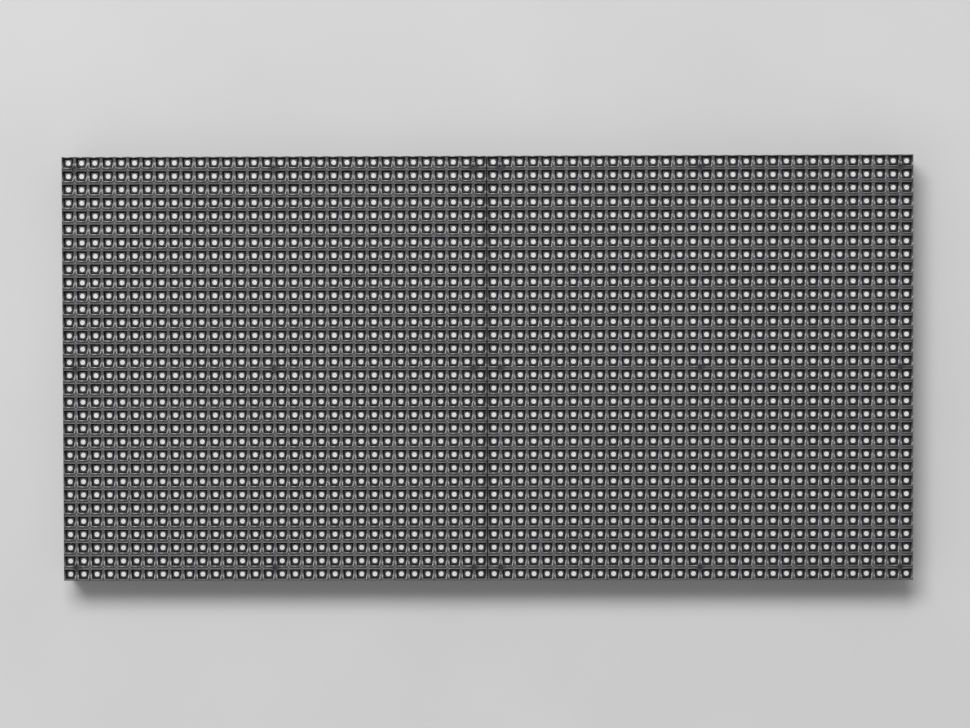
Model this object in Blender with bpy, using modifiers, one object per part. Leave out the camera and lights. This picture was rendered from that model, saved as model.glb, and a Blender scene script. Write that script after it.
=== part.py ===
"""An RGB LED matrix panel of 64 by 32 pixels on a 4 mm pitch, lying on its back.

Run with: blender --background --python part.py
Metres. +Z points out of the lit face, +X along the long side, and the origin is at the middle
of the back face.
"""

import math

import bmesh
import bpy
from mathutils import Matrix, Vector

MM = 0.001

# Pixel grid
PITCH = 4.0 * MM  # from one LED to the next
MASK_CELLS = 32  # pixels along each side of one square mask
LED_GAP = 1.9 * MM  # between the bodies of two LEDs
LED_HEIGHT = 1.1 * MM

# Masks
SEAM = 0.3 * MM  # between the two masks, and half of it round the outside
RIM_WIDTH = 0.5 * MM
RIM_PROUD = 0.05 * MM  # how far the rim stands above the bars
LED_ROOM = 0.35 * MM  # between a web and the LEDs on each side of it
WEB_LIFT = 0.2 * MM  # from the mask's rear face up to the foot of its webs
WEB_RISE = 0.3 * MM  # a web's crest above the LED tops
WEB_CREST = 0.4 * MM  # width of the flat along a web's crest
LAYER_GAP = 0.25 * MM  # between the webs and the bars that pass over them
BAR_HEIGHT = 0.85 * MM
BAR_CRESTS = 0.72 * MM  # between the two crests of a bar
BAR_GROOVE = 0.35 * MM  # depth of the groove between them

# Mask screws and locating pegs, placed by cell borders counted from a mask's edge
SCREW_BORDER = 1
SCREW_LENGTH = 8.0 * MM  # under the head
HEAD_HEIGHT = 0.45 * MM
HEAD_RECESS = 0.3 * MM  # head below the top of its boss
HEAD_OVERHANG = 0.2 * MM  # head radius beyond the shaft's
TIP_LENGTH = 0.6 * MM
BOSS_WALL = 0.35 * MM
PEG_RADIUS = 0.45 * MM
PEG_RISE = 0.6 * MM  # above the web's crest

# Circuit board
BOARD_THICKNESS = 1.6 * MM
BOARD_INSET = 0.3 * MM

# Clearances
SEAT_GAP = 0.3 * MM  # between pieces that rest on each other
FIT_GAP = 0.15 * MM  # round a screw, peg or insert
SINK = 0.2 * MM  # how deep joined shapes reach into each other

# Data headers, two rows of eight pins
HEADER_HEIGHT = 9.1 * MM
HEADER_WIDTH = 8.9 * MM
HEADER_WALL = 1.2 * MM
HEADER_FLOOR = 2.5 * MM
HEADER_RECESS = 0.5 * MM  # header behind the frame's back face
HEADER_INSET = 24.0 * MM  # from the panel's end to the header's middle
HEADER_KEY = 4.5 * MM  # width of the slot in one long wall
PIN_PITCH = 2.54 * MM
PIN_PAIR_COUNT = 8
PIN_SIDE = 0.64 * MM
PIN_SHORT = 1.0 * MM  # pin tips below the shroud's edge
HEADER_END = 5.1 * MM  # from the last pin to the end of the shroud

# Power header, four pins
POWER_PITCH = 3.96 * MM
POWER_PINS = 4
POWER_WIDTH = 8.5 * MM
POWER_BASE = 3.2 * MM
POWER_WALL = 1.2 * MM
POWER_PIN_SIDE = 1.14 * MM
POWER_X = 16.0 * MM

# Rear frame
FRAME_INSET = 0.2 * MM  # frame inside the masks' outline
FRAME_WALL = 3.0 * MM
RIB_WIDTH = 2.0 * MM
RIB_RECESS = 1.0 * MM  # ribs in front of the back face
RIB_DROP = 0.4 * MM  # ribs behind the frame's front edge
RUNG_COUNT = 5  # short ribs across the middle spine
POST_WALL = 1.15 * MM  # wall of the posts that take the mask screws
POST_RISE = 0.1 * MM  # posts in front of the frame's front edge
POST_FLOOR = 1.2 * MM
ARM_WIDTH = 1.6 * MM
ARM_STEP = 0.3 * MM  # arms in from the ends of what they join

# Mounting bosses with threaded inserts
MOUNT_INSET_X = 16.0 * MM
MOUNT_INSET_Y = 8.0 * MM
MOUNT_WALL = 1.65 * MM
MOUNT_FLOOR = 1.6 * MM
INSERT_RADIUS = 2.4 * MM
INSERT_BORE = 1.25 * MM
INSERT_LENGTH = 6.0 * MM
INSERT_RECESS = 0.1 * MM

# Chips: length, width, height
DRIVER_SIZE = (3.9 * MM, 8.65 * MM, 1.5 * MM)
BUFFER_SIZE = (4.4 * MM, 6.5 * MM, 1.1 * MM)
DECODER_SIZE = (3.9 * MM, 9.9 * MM, 1.5 * MM)
SWITCH_SIZE = (3.9 * MM, 4.9 * MM, 1.5 * MM)
CHIP_DRAFT = 0.12 * MM
DRIVER_CELLS = 5  # pixels from one driver to the next
BAND_CELLS = 8  # pixels from the panel's middle to each band of drivers
DRIVER_COUNT = 12  # in each band
SWITCH_X = (-14.0 * MM, -24.0 * MM)
SWITCH_STEP = 8.0 * MM
DECODER_X = -36.0 * MM
DECODER_STEP = 16.0 * MM
BUFFER_INSET = 44.0 * MM
BUFFER_STEP = 10.0 * MM

# Capacitors
CAN_RADIUS = 3.15 * MM
CAN_HEIGHT = 7.7 * MM
CAN_EDGE = 0.4 * MM
CAN_FOOT = 1.0 * MM
CAN_FOOT_SIDE = 6.6 * MM
CAN_STEP = 32.0 * MM

ROUND_SIDES = 8  # facets of the many small round shapes
BIG_ROUND_SIDES = 10
PEG_SIDES = 6
MERGE = 0.00001

# Levels up through the panel, from its back face
FRAME_DEPTH = HEADER_RECESS + HEADER_HEIGHT
BOARD_REAR = FRAME_DEPTH + SEAT_GAP
BOARD_FRONT = BOARD_REAR + BOARD_THICKNESS
LED_TOP = BOARD_FRONT + LED_HEIGHT
MASK_REAR = BOARD_FRONT + SEAT_GAP
WEB_TOP = LED_TOP + WEB_RISE
BAR_REAR = WEB_TOP + LAYER_GAP
BAR_TOP = BAR_REAR + BAR_HEIGHT
MASK_FRONT = BAR_TOP + RIM_PROUD
BOSS_TOP = BAR_TOP - RIM_PROUD
HEAD_TOP = BOSS_TOP - HEAD_RECESS
HEAD_SEAT = HEAD_TOP - HEAD_HEIGHT
SCREW_TIP = HEAD_SEAT - SCREW_LENGTH

# Sizes that follow from the room between the LEDs
MASK_PITCH = MASK_CELLS * PITCH
MASK_SIDE = MASK_PITCH - SEAM
LED_SIDE = PITCH - LED_GAP
WEB_WIDTH = LED_GAP - 2 * LED_ROOM
CORNER_ROOM = math.sqrt(2) * LED_GAP / 2  # from a crossing to the nearest LED corner
BOSS_RADIUS = CORNER_ROOM - FIT_GAP
SCREW_HOLE = BOSS_RADIUS - BOSS_WALL
SHAFT_RADIUS = SCREW_HOLE - FIT_GAP
HEAD_RADIUS = SHAFT_RADIUS + HEAD_OVERHANG
POST_RADIUS = SCREW_HOLE + POST_WALL
HEADER_LENGTH = (PIN_PAIR_COUNT - 1) * PIN_PITCH + 2 * HEADER_END
POWER_LENGTH = POWER_PINS * POWER_PITCH
MOUNT_HOLE = INSERT_RADIUS + FIT_GAP
MOUNT_RADIUS = MOUNT_HOLE + MOUNT_WALL


def clear_scene():
    for obj in list(bpy.data.objects):
        bpy.data.objects.remove(obj, do_unlink=True)


def make_collection(name):
    collection = bpy.data.collections.new(name)
    bpy.context.scene.collection.children.link(collection)
    return collection


def make_material(name, colour, roughness, metallic=0.0):
    material = bpy.data.materials.new(name)
    material.use_nodes = True
    shader = material.node_tree.nodes["Principled BSDF"]
    shader.inputs["Base Color"].default_value = (*colour, 1.0)
    shader.inputs["Roughness"].default_value = roughness
    shader.inputs["Metallic"].default_value = metallic
    material.diffuse_color = (*colour, 1.0)
    return material


def mesh_from(bm, name):
    """Turns a bmesh into a mesh whose round sides are smooth and whose corners stay sharp."""
    mesh = bpy.data.meshes.new(name)
    bm.to_mesh(mesh)
    bm.free()
    mesh.shade_smooth()
    mesh.set_sharp_from_angle(angle=math.radians(50))
    return mesh


class Panel:
    """The collections and materials that the pieces share."""

    def __init__(self):
        self.parts = make_collection("rgb_led_matrix_panel")
        self.cutters = make_collection("cutters")
        self.mask_plastic = make_material("mask_plastic", (0.035, 0.035, 0.037), 0.5)
        self.frame_plastic = make_material("frame_plastic", (0.03, 0.03, 0.032), 0.55)
        self.board = make_material("board", (0.02, 0.09, 0.05), 0.4)
        self.black_steel = make_material("black_steel", (0.04, 0.04, 0.045), 0.35, 0.9)
        self.chip = make_material("chip", (0.02, 0.02, 0.021), 0.5)
        self.header_plastic = make_material("header_plastic", (0.025, 0.025, 0.025), 0.45)
        self.nylon = make_material("nylon", (0.75, 0.73, 0.68), 0.5)
        self.can = make_material("can", (0.75, 0.75, 0.77), 0.3, 1.0)
        self.brass = make_material("brass", (0.72, 0.52, 0.22), 0.35, 1.0)

    def piece(self, name, mesh, material, location=(0.0, 0.0, 0.0)):
        """Places a part. Parts may share a mesh, and it keeps the first material it is given."""
        obj = bpy.data.objects.new(name, mesh)
        obj.location = location
        if not mesh.materials:
            mesh.materials.append(material)
        self.parts.objects.link(obj)
        return obj

    def combine(self, target, name, bm, operation):
        """Joins the shapes in bm to the target, or cuts them from it."""
        helper = bpy.data.objects.new(name, mesh_from(bm, name))
        helper.hide_render = True
        helper.display_type = "WIRE"
        self.cutters.objects.link(helper)
        modifier = target.modifiers.new(name, "BOOLEAN")
        modifier.object = helper
        modifier.operation = operation
        modifier.solver = "EXACT"


def add_box(bm, low, high):
    low, high = Vector(low), Vector(high)
    place = Matrix.Translation((low + high) / 2)
    bmesh.ops.create_cube(bm, size=1.0, matrix=place @ Matrix.Diagonal((*(high - low), 1.0)))


def add_cylinder(bm, radius, centre, low, high, sides=ROUND_SIDES):
    """An upright cylinder, turned by half a facet so that no corner lies on the X or Y axis."""
    turn = Matrix.Rotation(math.pi / sides, 4, "Z")
    place = Matrix.Translation((centre[0], centre[1], (low + high) / 2))
    bmesh.ops.create_cone(
        bm,
        cap_ends=True,
        segments=sides,
        radius1=radius,
        radius2=radius,
        depth=high - low,
        matrix=place @ turn,
    )


def add_prism(bm, profile, start, length):
    """Pushes a profile, a list of points round one end, along the length vector from start."""
    corners = [bm.verts.new(Vector(start) + Vector(point)) for point in profile]
    cap = bm.faces.new(corners)
    swept = bmesh.ops.extrude_face_region(bm, geom=[cap], use_keep_orig=True)["geom"]
    moved = [item for item in swept if isinstance(item, bmesh.types.BMVert)]
    bmesh.ops.translate(bm, verts=moved, vec=Vector(length))


def face_out(bm):
    bmesh.ops.recalc_face_normals(bm, faces=bm.faces)
    return bm


def turned_mesh(panel, name, profile, sides):
    """Turns a profile of (radius, height) points, from the top down its outer side, about Z."""
    outline = bpy.data.meshes.new(name + "_outline")
    bm = bmesh.new()
    points = [bm.verts.new((radius, 0.0, height)) for radius, height in profile]
    for first, second in zip(points, points[1:]):
        bm.edges.new((first, second))
    if profile[0][0] > MERGE:
        bm.edges.new((points[-1], points[0]))
    bm.to_mesh(outline)
    bm.free()
    guide = bpy.data.objects.new(name + "_guide", outline)
    panel.cutters.objects.link(guide)
    screw = guide.modifiers.new("turn", "SCREW")
    screw.steps = sides
    screw.render_steps = sides
    screw.use_merge_vertices = True
    screw.merge_threshold = MERGE
    graph = bpy.context.evaluated_depsgraph_get()
    mesh = bpy.data.meshes.new_from_object(guide.evaluated_get(graph))
    bpy.data.objects.remove(guide, do_unlink=True)
    bm = bmesh.new()
    bm.from_mesh(mesh)
    bpy.data.meshes.remove(mesh)
    return mesh_from(bm, name)


def screw_borders():
    """Cell borders, counted from a mask's edge, that cross at the screws."""
    return (SCREW_BORDER, MASK_CELLS // 2, MASK_CELLS - SCREW_BORDER)


def screw_offsets():
    """Distances of the screws from the middle of a mask."""
    return [(border - MASK_CELLS / 2) * PITCH for border in screw_borders()]


def screw_places():
    return [
        (side * MASK_PITCH / 2 + across, up)
        for side in (-1, 1)
        for up in screw_offsets()
        for across in screw_offsets()
    ]


def peg_places():
    """Pegs stand between the first two LEDs, and the last two, of a mask's end rows."""
    across = (MASK_CELLS / 2 - 1) * PITCH
    up = (MASK_CELLS / 2 - 0.5) * PITCH
    return [
        (side * MASK_PITCH / 2 + left * across, low * up)
        for side in (-1, 1)
        for left in (-1, 1)
        for low in (-1, 1)
    ]


def border_offsets():
    """Distances of a mask's inner cell borders from its middle."""
    return [(border - MASK_CELLS / 2) * PITCH for border in range(1, MASK_CELLS)]


def web_profile():
    foot, crest = WEB_WIDTH / 2, min(WEB_CREST, WEB_WIDTH) / 2
    low = MASK_REAR + WEB_LIFT
    return [(-foot, 0, low), (foot, 0, low), (crest, 0, WEB_TOP), (-crest, 0, WEB_TOP)]


def bar_profile():
    """A bar's section: a flat foot and two crests with a groove between them."""
    foot, crest = WEB_WIDTH / 2, min(BAR_CRESTS, WEB_WIDTH) / 2
    return [
        (0, -foot, BAR_REAR),
        (0, foot, BAR_REAR),
        (0, crest, BAR_TOP),
        (0, 0, BAR_TOP - BAR_GROOVE),
        (0, -crest, BAR_TOP),
    ]


def build_mask(panel, name, middle_x):
    """One mask: a rim, upright webs between the columns, bars over them between the rows."""
    half = MASK_SIDE / 2
    bm = bmesh.new()
    add_box(bm, (middle_x - half, -half, MASK_REAR), (middle_x + half, half, MASK_FRONT))
    mask = panel.piece(name, mesh_from(bm, name), panel.mask_plastic)

    inner = half - RIM_WIDTH
    bm = bmesh.new()
    add_box(
        bm,
        (middle_x - inner, -inner, MASK_REAR - PITCH),
        (middle_x + inner, inner, MASK_FRONT + PITCH),
    )
    panel.combine(mask, name + "_window", bm, "DIFFERENCE")

    reach = half - RIM_WIDTH / 2
    bm = bmesh.new()
    for across in border_offsets():
        add_prism(bm, web_profile(), (middle_x + across, -reach, 0), (0, 2 * reach, 0))
    panel.combine(mask, name + "_webs", face_out(bm), "UNION")

    bm = bmesh.new()
    for up in border_offsets():
        add_prism(bm, bar_profile(), (middle_x - reach, up, 0), (2 * reach, 0, 0))
    panel.combine(mask, name + "_bars", face_out(bm), "UNION")

    add_screw_bosses(panel, mask, middle_x)
    bm = bmesh.new()
    for place in peg_places():
        if (place[0] > 0) == (middle_x > 0):
            add_cylinder(bm, PEG_RADIUS, place, BOARD_REAR + SINK, WEB_TOP + PEG_RISE, PEG_SIDES)
    panel.combine(mask, name + "_pegs", bm, "UNION")


def add_screw_bosses(panel, mask, middle_x):
    places = [place for place in screw_places() if (place[0] > 0) == (middle_x > 0)]
    bosses, holes, seats = bmesh.new(), bmesh.new(), bmesh.new()
    for place in places:
        add_cylinder(bosses, BOSS_RADIUS, place, MASK_REAR, BOSS_TOP)
        add_cylinder(holes, SCREW_HOLE, place, MASK_REAR - PITCH, MASK_FRONT)
        add_cylinder(seats, HEAD_RADIUS + FIT_GAP, place, HEAD_SEAT - FIT_GAP, MASK_FRONT + PITCH)
    panel.combine(mask, mask.name + "_bosses", bosses, "UNION")
    panel.combine(mask, mask.name + "_holes", holes, "DIFFERENCE")
    panel.combine(mask, mask.name + "_seats", seats, "DIFFERENCE")


def build_screws(panel):
    profile = [
        (0.0, HEAD_TOP),
        (HEAD_RADIUS, HEAD_TOP),
        (HEAD_RADIUS, HEAD_SEAT),
        (SHAFT_RADIUS, HEAD_SEAT),
        (SHAFT_RADIUS, SCREW_TIP + TIP_LENGTH),
        (0.0, SCREW_TIP),
    ]
    mesh = turned_mesh(panel, "mask_screw", profile, ROUND_SIDES)
    for number, place in enumerate(screw_places(), 1):
        panel.piece(f"mask_screw_{number:02d}", mesh, panel.black_steel, (*place, 0.0))


def led_runs(beside_screws):
    """First and last row of each run of LEDs in a column. Runs stop where a screw passes."""
    if not beside_screws:
        return [(0, MASK_CELLS - 1)]
    stops = [0, *screw_borders(), MASK_CELLS]
    return [(first, last - 1) for first, last in zip(stops, stops[1:])]


def build_board(panel):
    """The circuit board with its LEDs in front and the row switches and decoders behind."""
    half_x, half_y = MASK_PITCH - BOARD_INSET, MASK_PITCH / 2 - BOARD_INSET
    bm = bmesh.new()
    add_box(bm, (-half_x, -half_y, BOARD_REAR), (half_x, half_y, BOARD_FRONT))
    board = panel.piece("led_board", mesh_from(bm, "led_board"), panel.board)

    bm = bmesh.new()
    near_screws = {border + step for border in screw_borders() for step in (-1, 0)}
    for column in range(2 * MASK_CELLS):
        x = (column + 0.5) * PITCH - MASK_PITCH
        for first, last in led_runs(column % MASK_CELLS in near_screws):
            low = first * PITCH - MASK_PITCH / 2 + LED_GAP / 2
            high = (last + 1) * PITCH - MASK_PITCH / 2 - LED_GAP / 2
            add_box(bm, (x - LED_SIDE / 2, low, BOARD_FRONT - SINK), (x + LED_SIDE / 2, high, LED_TOP))
    panel.combine(board, "led_columns", bm, "UNION")

    bm = bmesh.new()
    for place in switch_places():
        add_chip(bm, SWITCH_SIZE, place, BOARD_REAR + SINK)
    for place in decoder_places():
        add_chip(bm, DECODER_SIZE, place, BOARD_REAR + SINK)
    panel.combine(board, "row_chips", bm, "UNION")

    bm = bmesh.new()
    for place in screw_places():
        add_cylinder(bm, SCREW_HOLE, place, BOARD_REAR - PITCH, BOARD_FRONT + PITCH)
    for place in peg_places():
        low, high = BOARD_REAR - PITCH, BOARD_FRONT + PITCH
        add_cylinder(bm, PEG_RADIUS + FIT_GAP, place, low, high, PEG_SIDES)
    panel.combine(board, "board_holes", bm, "DIFFERENCE")


def add_chip(bm, size, place, front):
    """A moulded chip body whose sides lean in from a parting line half way up."""
    width, length, height = size
    chip = bmesh.new()
    bmesh.ops.create_cube(chip, size=1.0, matrix=Matrix.Diagonal((width, length, height, 1.0)))
    upright = [
        edge
        for edge in chip.edges
        if abs(edge.verts[0].co.z - edge.verts[1].co.z) > height / 2
    ]
    bmesh.ops.subdivide_edges(chip, edges=upright, cuts=1)
    for vert in chip.verts:
        if abs(vert.co.z) > height / 4:
            vert.co.x -= math.copysign(CHIP_DRAFT, vert.co.x)
            vert.co.y -= math.copysign(CHIP_DRAFT, vert.co.y)
    chip.transform(Matrix.Translation((*place, front - height / 2)))
    shape = bpy.data.meshes.new("chip_shape")
    chip.to_mesh(shape)
    chip.free()
    bm.from_mesh(shape)
    bpy.data.meshes.remove(shape)


def chip_mesh(name, size):
    bm = bmesh.new()
    add_chip(bm, size, (0.0, 0.0), BOARD_REAR - SEAT_GAP)
    return mesh_from(bm, name)


def centred(count, step):
    """Places in a row of so many, a step apart, about zero."""
    return [(number - (count - 1) / 2) * step for number in range(count)]


def switch_places():
    return [(x, y) for x in SWITCH_X for y in centred(4, SWITCH_STEP)]


def decoder_places():
    return [(DECODER_X, y) for y in centred(2, DECODER_STEP)]


def build_chips(panel):
    mesh = chip_mesh("led_driver", DRIVER_SIZE)
    columns = centred(DRIVER_COUNT, DRIVER_CELLS * PITCH)
    for band, y in (("upper", BAND_CELLS * PITCH), ("lower", -BAND_CELLS * PITCH)):
        for number, x in enumerate(columns, 1):
            panel.piece(f"led_driver_{band}_{number:02d}", mesh, panel.chip, (x, y, 0.0))
    mesh = chip_mesh("bus_buffer", BUFFER_SIZE)
    for number, y in enumerate(centred(3, BUFFER_STEP), 1):
        place = (BUFFER_INSET - MASK_PITCH, y, 0.0)
        panel.piece(f"bus_buffer_{number}", mesh, panel.chip, place)


def build_data_header(panel, name, middle_x):
    """A shrouded header: a box open at the back, with a key slot and two rows of pins."""
    back, front = HEADER_RECESS, HEADER_RECESS + HEADER_HEIGHT
    half_x, half_y = HEADER_WIDTH / 2, HEADER_LENGTH / 2
    bm = bmesh.new()
    add_box(bm, (middle_x - half_x, -half_y, back), (middle_x + half_x, half_y, front))
    header = panel.piece(name, mesh_from(bm, name), panel.header_plastic)

    floor = front - HEADER_FLOOR
    wide, long = half_x - HEADER_WALL, half_y - HEADER_WALL
    bm = bmesh.new()
    add_box(bm, (middle_x - wide, -long, -PITCH), (middle_x + wide, long, floor))
    panel.combine(header, name + "_socket", bm, "DIFFERENCE")

    bm = bmesh.new()
    add_box(
        bm,
        (middle_x, -HEADER_KEY / 2, -PITCH),
        (middle_x + HEADER_WIDTH, HEADER_KEY / 2, floor - HEADER_WALL),
    )
    panel.combine(header, name + "_key", bm, "DIFFERENCE")

    bm = bmesh.new()
    for x in centred(2, PIN_PITCH):
        for y in centred(PIN_PAIR_COUNT, PIN_PITCH):
            low = (middle_x + x - PIN_SIDE / 2, y - PIN_SIDE / 2, back + PIN_SHORT)
            high = (middle_x + x + PIN_SIDE / 2, y + PIN_SIDE / 2, floor + SINK)
            add_box(bm, low, high)
    panel.combine(header, name + "_pins", bm, "UNION")


def build_power_header(panel):
    """A power header: a low base, one tall wall that the plug latches on, and four pins."""
    back, front = HEADER_RECESS, HEADER_RECESS + HEADER_HEIGHT
    left, right = POWER_X - POWER_WIDTH / 2, POWER_X + POWER_WIDTH / 2
    half = POWER_LENGTH / 2
    bm = bmesh.new()
    add_box(bm, (left, -half, front - POWER_BASE), (right, half, front))
    header = panel.piece("power_header", mesh_from(bm, "power_header"), panel.nylon)

    bm = bmesh.new()
    add_box(
        bm,
        (right - POWER_WALL - SINK, -half + SINK, back),
        (right - SINK, half - SINK, front - SINK),
    )
    panel.combine(header, "power_wall", bm, "UNION")

    bm = bmesh.new()
    for y in centred(POWER_PINS, POWER_PITCH):
        low = (POWER_X - POWER_PIN_SIDE / 2, y - POWER_PIN_SIDE / 2, back + PIN_SHORT)
        high = (POWER_X + POWER_PIN_SIDE / 2, y + POWER_PIN_SIDE / 2, front - SINK)
        add_box(bm, low, high)
    panel.combine(header, "power_pins", bm, "UNION")


def build_capacitors(panel):
    """Two capacitors: an aluminium can with a rounded end on a square plastic foot."""
    front = BOARD_REAR - SEAT_GAP
    back = front - CAN_HEIGHT
    profile = [
        (0.0, front - CAN_FOOT / 2),
        (CAN_RADIUS, front - CAN_FOOT / 2),
        (CAN_RADIUS, back + CAN_EDGE),
        (CAN_RADIUS - CAN_EDGE, back),
        (0.0, back),
    ]
    mesh = turned_mesh(panel, "capacitor", profile, BIG_ROUND_SIDES)
    for number, y in enumerate(centred(2, CAN_STEP), 1):
        can = panel.piece(f"capacitor_{number}", mesh, panel.can, (POWER_X, y, 0.0))
        half = CAN_FOOT_SIDE / 2
        bm = bmesh.new()
        add_box(bm, (POWER_X - half, y - half, front - CAN_FOOT), (POWER_X + half, y + half, front))
        panel.combine(can, f"capacitor_foot_{number}", bm, "UNION")


def mount_places():
    across = MASK_PITCH - MOUNT_INSET_X
    up = MASK_PITCH / 2 - MOUNT_INSET_Y
    return [(x, y) for y in (-up, up) for x in (-across, 0.0, across)]


def build_frame(panel):
    """The rear frame: a wall all round, upright ribs, posts for screws and mounting bosses."""
    half_x = MASK_PITCH - SEAM / 2 - FRAME_INSET
    half_y = MASK_PITCH / 2 - SEAM / 2 - FRAME_INSET
    bm = bmesh.new()
    add_box(bm, (-half_x, -half_y, 0.0), (half_x, half_y, FRAME_DEPTH))
    frame = panel.piece("rear_frame", mesh_from(bm, "rear_frame"), panel.frame_plastic)

    in_x, in_y = half_x - FRAME_WALL, half_y - FRAME_WALL
    bm = bmesh.new()
    add_box(bm, (-in_x, -in_y, -PITCH), (in_x, in_y, FRAME_DEPTH + PITCH))
    panel.combine(frame, "frame_window", bm, "DIFFERENCE")

    add_ribs(panel, frame, half_y - FRAME_WALL / 2)
    add_posts(panel, frame, half_x - FRAME_WALL / 2)
    add_mounts(panel, frame, half_y - FRAME_WALL / 2)


def add_ribs(panel, frame, reach):
    """Upright ribs through the inner columns of posts, and rungs across the middle pair."""
    bm = bmesh.new()
    for x in sorted({round(place[0] / MM, 6) * MM for place in screw_places()})[1:-1]:
        add_box(
            bm,
            (x - RIB_WIDTH / 2, -reach, RIB_RECESS),
            (x + RIB_WIDTH / 2, reach, FRAME_DEPTH - RIB_DROP),
        )
    panel.combine(frame, "frame_ribs", bm, "UNION")

    spine = SCREW_BORDER * PITCH
    step = 2 * reach / (RUNG_COUNT + 1)
    bm = bmesh.new()
    for y in centred(RUNG_COUNT, step):
        add_box(
            bm,
            (-spine, y - RIB_WIDTH / 2, RIB_RECESS + ARM_STEP),
            (spine, y + RIB_WIDTH / 2, FRAME_DEPTH - RIB_DROP - ARM_STEP),
        )
    panel.combine(frame, "frame_rungs", bm, "UNION")


def add_posts(panel, frame, reach):
    """Posts that take the mask screws. The outermost ones have an arm to the end wall."""
    low, high = SCREW_TIP - POST_FLOOR, FRAME_DEPTH + POST_RISE
    posts, arms, holes = bmesh.new(), bmesh.new(), bmesh.new()
    outermost = MASK_PITCH - SCREW_BORDER * PITCH
    for x, y in screw_places():
        add_cylinder(posts, POST_RADIUS, (x, y), low, high)
        add_cylinder(holes, SCREW_HOLE, (x, y), SCREW_TIP - FIT_GAP, high + PITCH)
        if abs(x) > outermost - SCREW_BORDER * PITCH:
            ends = sorted((x, math.copysign(reach, x)))
            add_box(
                arms,
                (ends[0], y - ARM_WIDTH / 2, low + ARM_STEP),
                (ends[1], y + ARM_WIDTH / 2, FRAME_DEPTH - 2 * ARM_STEP),
            )
    panel.combine(frame, "post_arms", arms, "UNION")
    panel.combine(frame, "screw_posts", posts, "UNION")
    panel.combine(frame, "post_holes", holes, "DIFFERENCE")


def add_mounts(panel, frame, reach):
    """Mounting bosses flush with the back face, each with an arm to the long wall."""
    depth = INSERT_RECESS + INSERT_LENGTH + FIT_GAP
    bosses, arms, holes = bmesh.new(), bmesh.new(), bmesh.new()
    for x, y in mount_places():
        add_cylinder(bosses, MOUNT_RADIUS, (x, y), 0.0, depth + MOUNT_FLOOR, BIG_ROUND_SIDES)
        add_cylinder(holes, MOUNT_HOLE, (x, y), -PITCH, depth, BIG_ROUND_SIDES)
        ends = sorted((y, math.copysign(reach, y)))
        add_box(
            arms,
            (x - ARM_WIDTH / 2, ends[0], RIB_RECESS - ARM_STEP),
            (x + ARM_WIDTH / 2, ends[1], depth),
        )
    panel.combine(frame, "mount_arms", arms, "UNION")
    panel.combine(frame, "mount_bosses", bosses, "UNION")
    panel.combine(frame, "mount_holes", holes, "DIFFERENCE")


def build_inserts(panel):
    """Brass rings pressed into the mounting bosses."""
    low, high = INSERT_RECESS, INSERT_RECESS + INSERT_LENGTH
    profile = [
        (INSERT_RADIUS, high),
        (INSERT_RADIUS, low),
        (INSERT_BORE, low),
        (INSERT_BORE, high),
    ]
    mesh = turned_mesh(panel, "threaded_insert", profile, BIG_ROUND_SIDES)
    for number, place in enumerate(mount_places(), 1):
        panel.piece(f"threaded_insert_{number}", mesh, panel.brass, (*place, 0.0))


def build_panel():
    clear_scene()
    panel = Panel()
    build_mask(panel, "mask_left", -MASK_PITCH / 2)
    build_mask(panel, "mask_right", MASK_PITCH / 2)
    build_screws(panel)
    build_board(panel)
    build_chips(panel)
    build_data_header(panel, "data_header_in", HEADER_INSET - MASK_PITCH)
    build_data_header(panel, "data_header_out", MASK_PITCH - HEADER_INSET)
    build_power_header(panel)
    build_capacitors(panel)
    build_frame(panel)
    build_inserts(panel)


build_panel()
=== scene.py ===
import math

import bpy
import numpy as np
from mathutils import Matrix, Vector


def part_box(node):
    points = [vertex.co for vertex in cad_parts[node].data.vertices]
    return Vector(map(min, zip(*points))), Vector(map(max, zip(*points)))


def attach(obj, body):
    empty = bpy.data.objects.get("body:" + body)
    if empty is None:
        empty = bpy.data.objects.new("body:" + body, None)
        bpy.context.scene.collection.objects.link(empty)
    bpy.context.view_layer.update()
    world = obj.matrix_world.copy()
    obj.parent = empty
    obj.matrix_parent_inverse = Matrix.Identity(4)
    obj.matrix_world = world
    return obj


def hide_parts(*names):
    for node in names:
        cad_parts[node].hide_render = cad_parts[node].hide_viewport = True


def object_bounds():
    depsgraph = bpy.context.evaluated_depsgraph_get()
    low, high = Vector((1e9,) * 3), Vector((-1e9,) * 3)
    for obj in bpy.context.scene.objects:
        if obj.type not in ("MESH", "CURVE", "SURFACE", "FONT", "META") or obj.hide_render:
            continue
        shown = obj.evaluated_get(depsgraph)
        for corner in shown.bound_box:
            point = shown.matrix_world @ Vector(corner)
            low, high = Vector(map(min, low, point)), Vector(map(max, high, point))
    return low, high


# RGB LED matrix panel lying on its back, lit face up, seen from nearly straight above.
# Everything is in metres in the frame's own axes: +Z out of the lit face, +Y to the picture's top.

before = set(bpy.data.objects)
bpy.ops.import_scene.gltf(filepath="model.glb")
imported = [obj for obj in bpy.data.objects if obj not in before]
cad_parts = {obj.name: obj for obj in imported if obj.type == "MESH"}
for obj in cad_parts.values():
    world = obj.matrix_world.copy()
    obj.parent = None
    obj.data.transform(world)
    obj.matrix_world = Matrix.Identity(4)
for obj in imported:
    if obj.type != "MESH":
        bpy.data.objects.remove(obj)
cadLow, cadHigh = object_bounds()
mm = 0.001

print("frame loaded:", len(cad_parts), "nodes")


# Sizes that the pieces share, read from the frame

grid = {
    "columns": 64,
    "rows": 32,
    "seam": 0.3,        # between the two masks, mm
    "crestBelow": 0.1,  # crest of the moulded bars below the CAD mask's top
    "chipGap": 0.3,     # board's rear above the chips' fronts
    "board": 1.6,
    "led": 1.1,         # LEDs above the board's front
}


def boxOf(node):
    # low and high corner of a CAD node as two arrays
    return [np.array(corner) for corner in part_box(node)]


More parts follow.
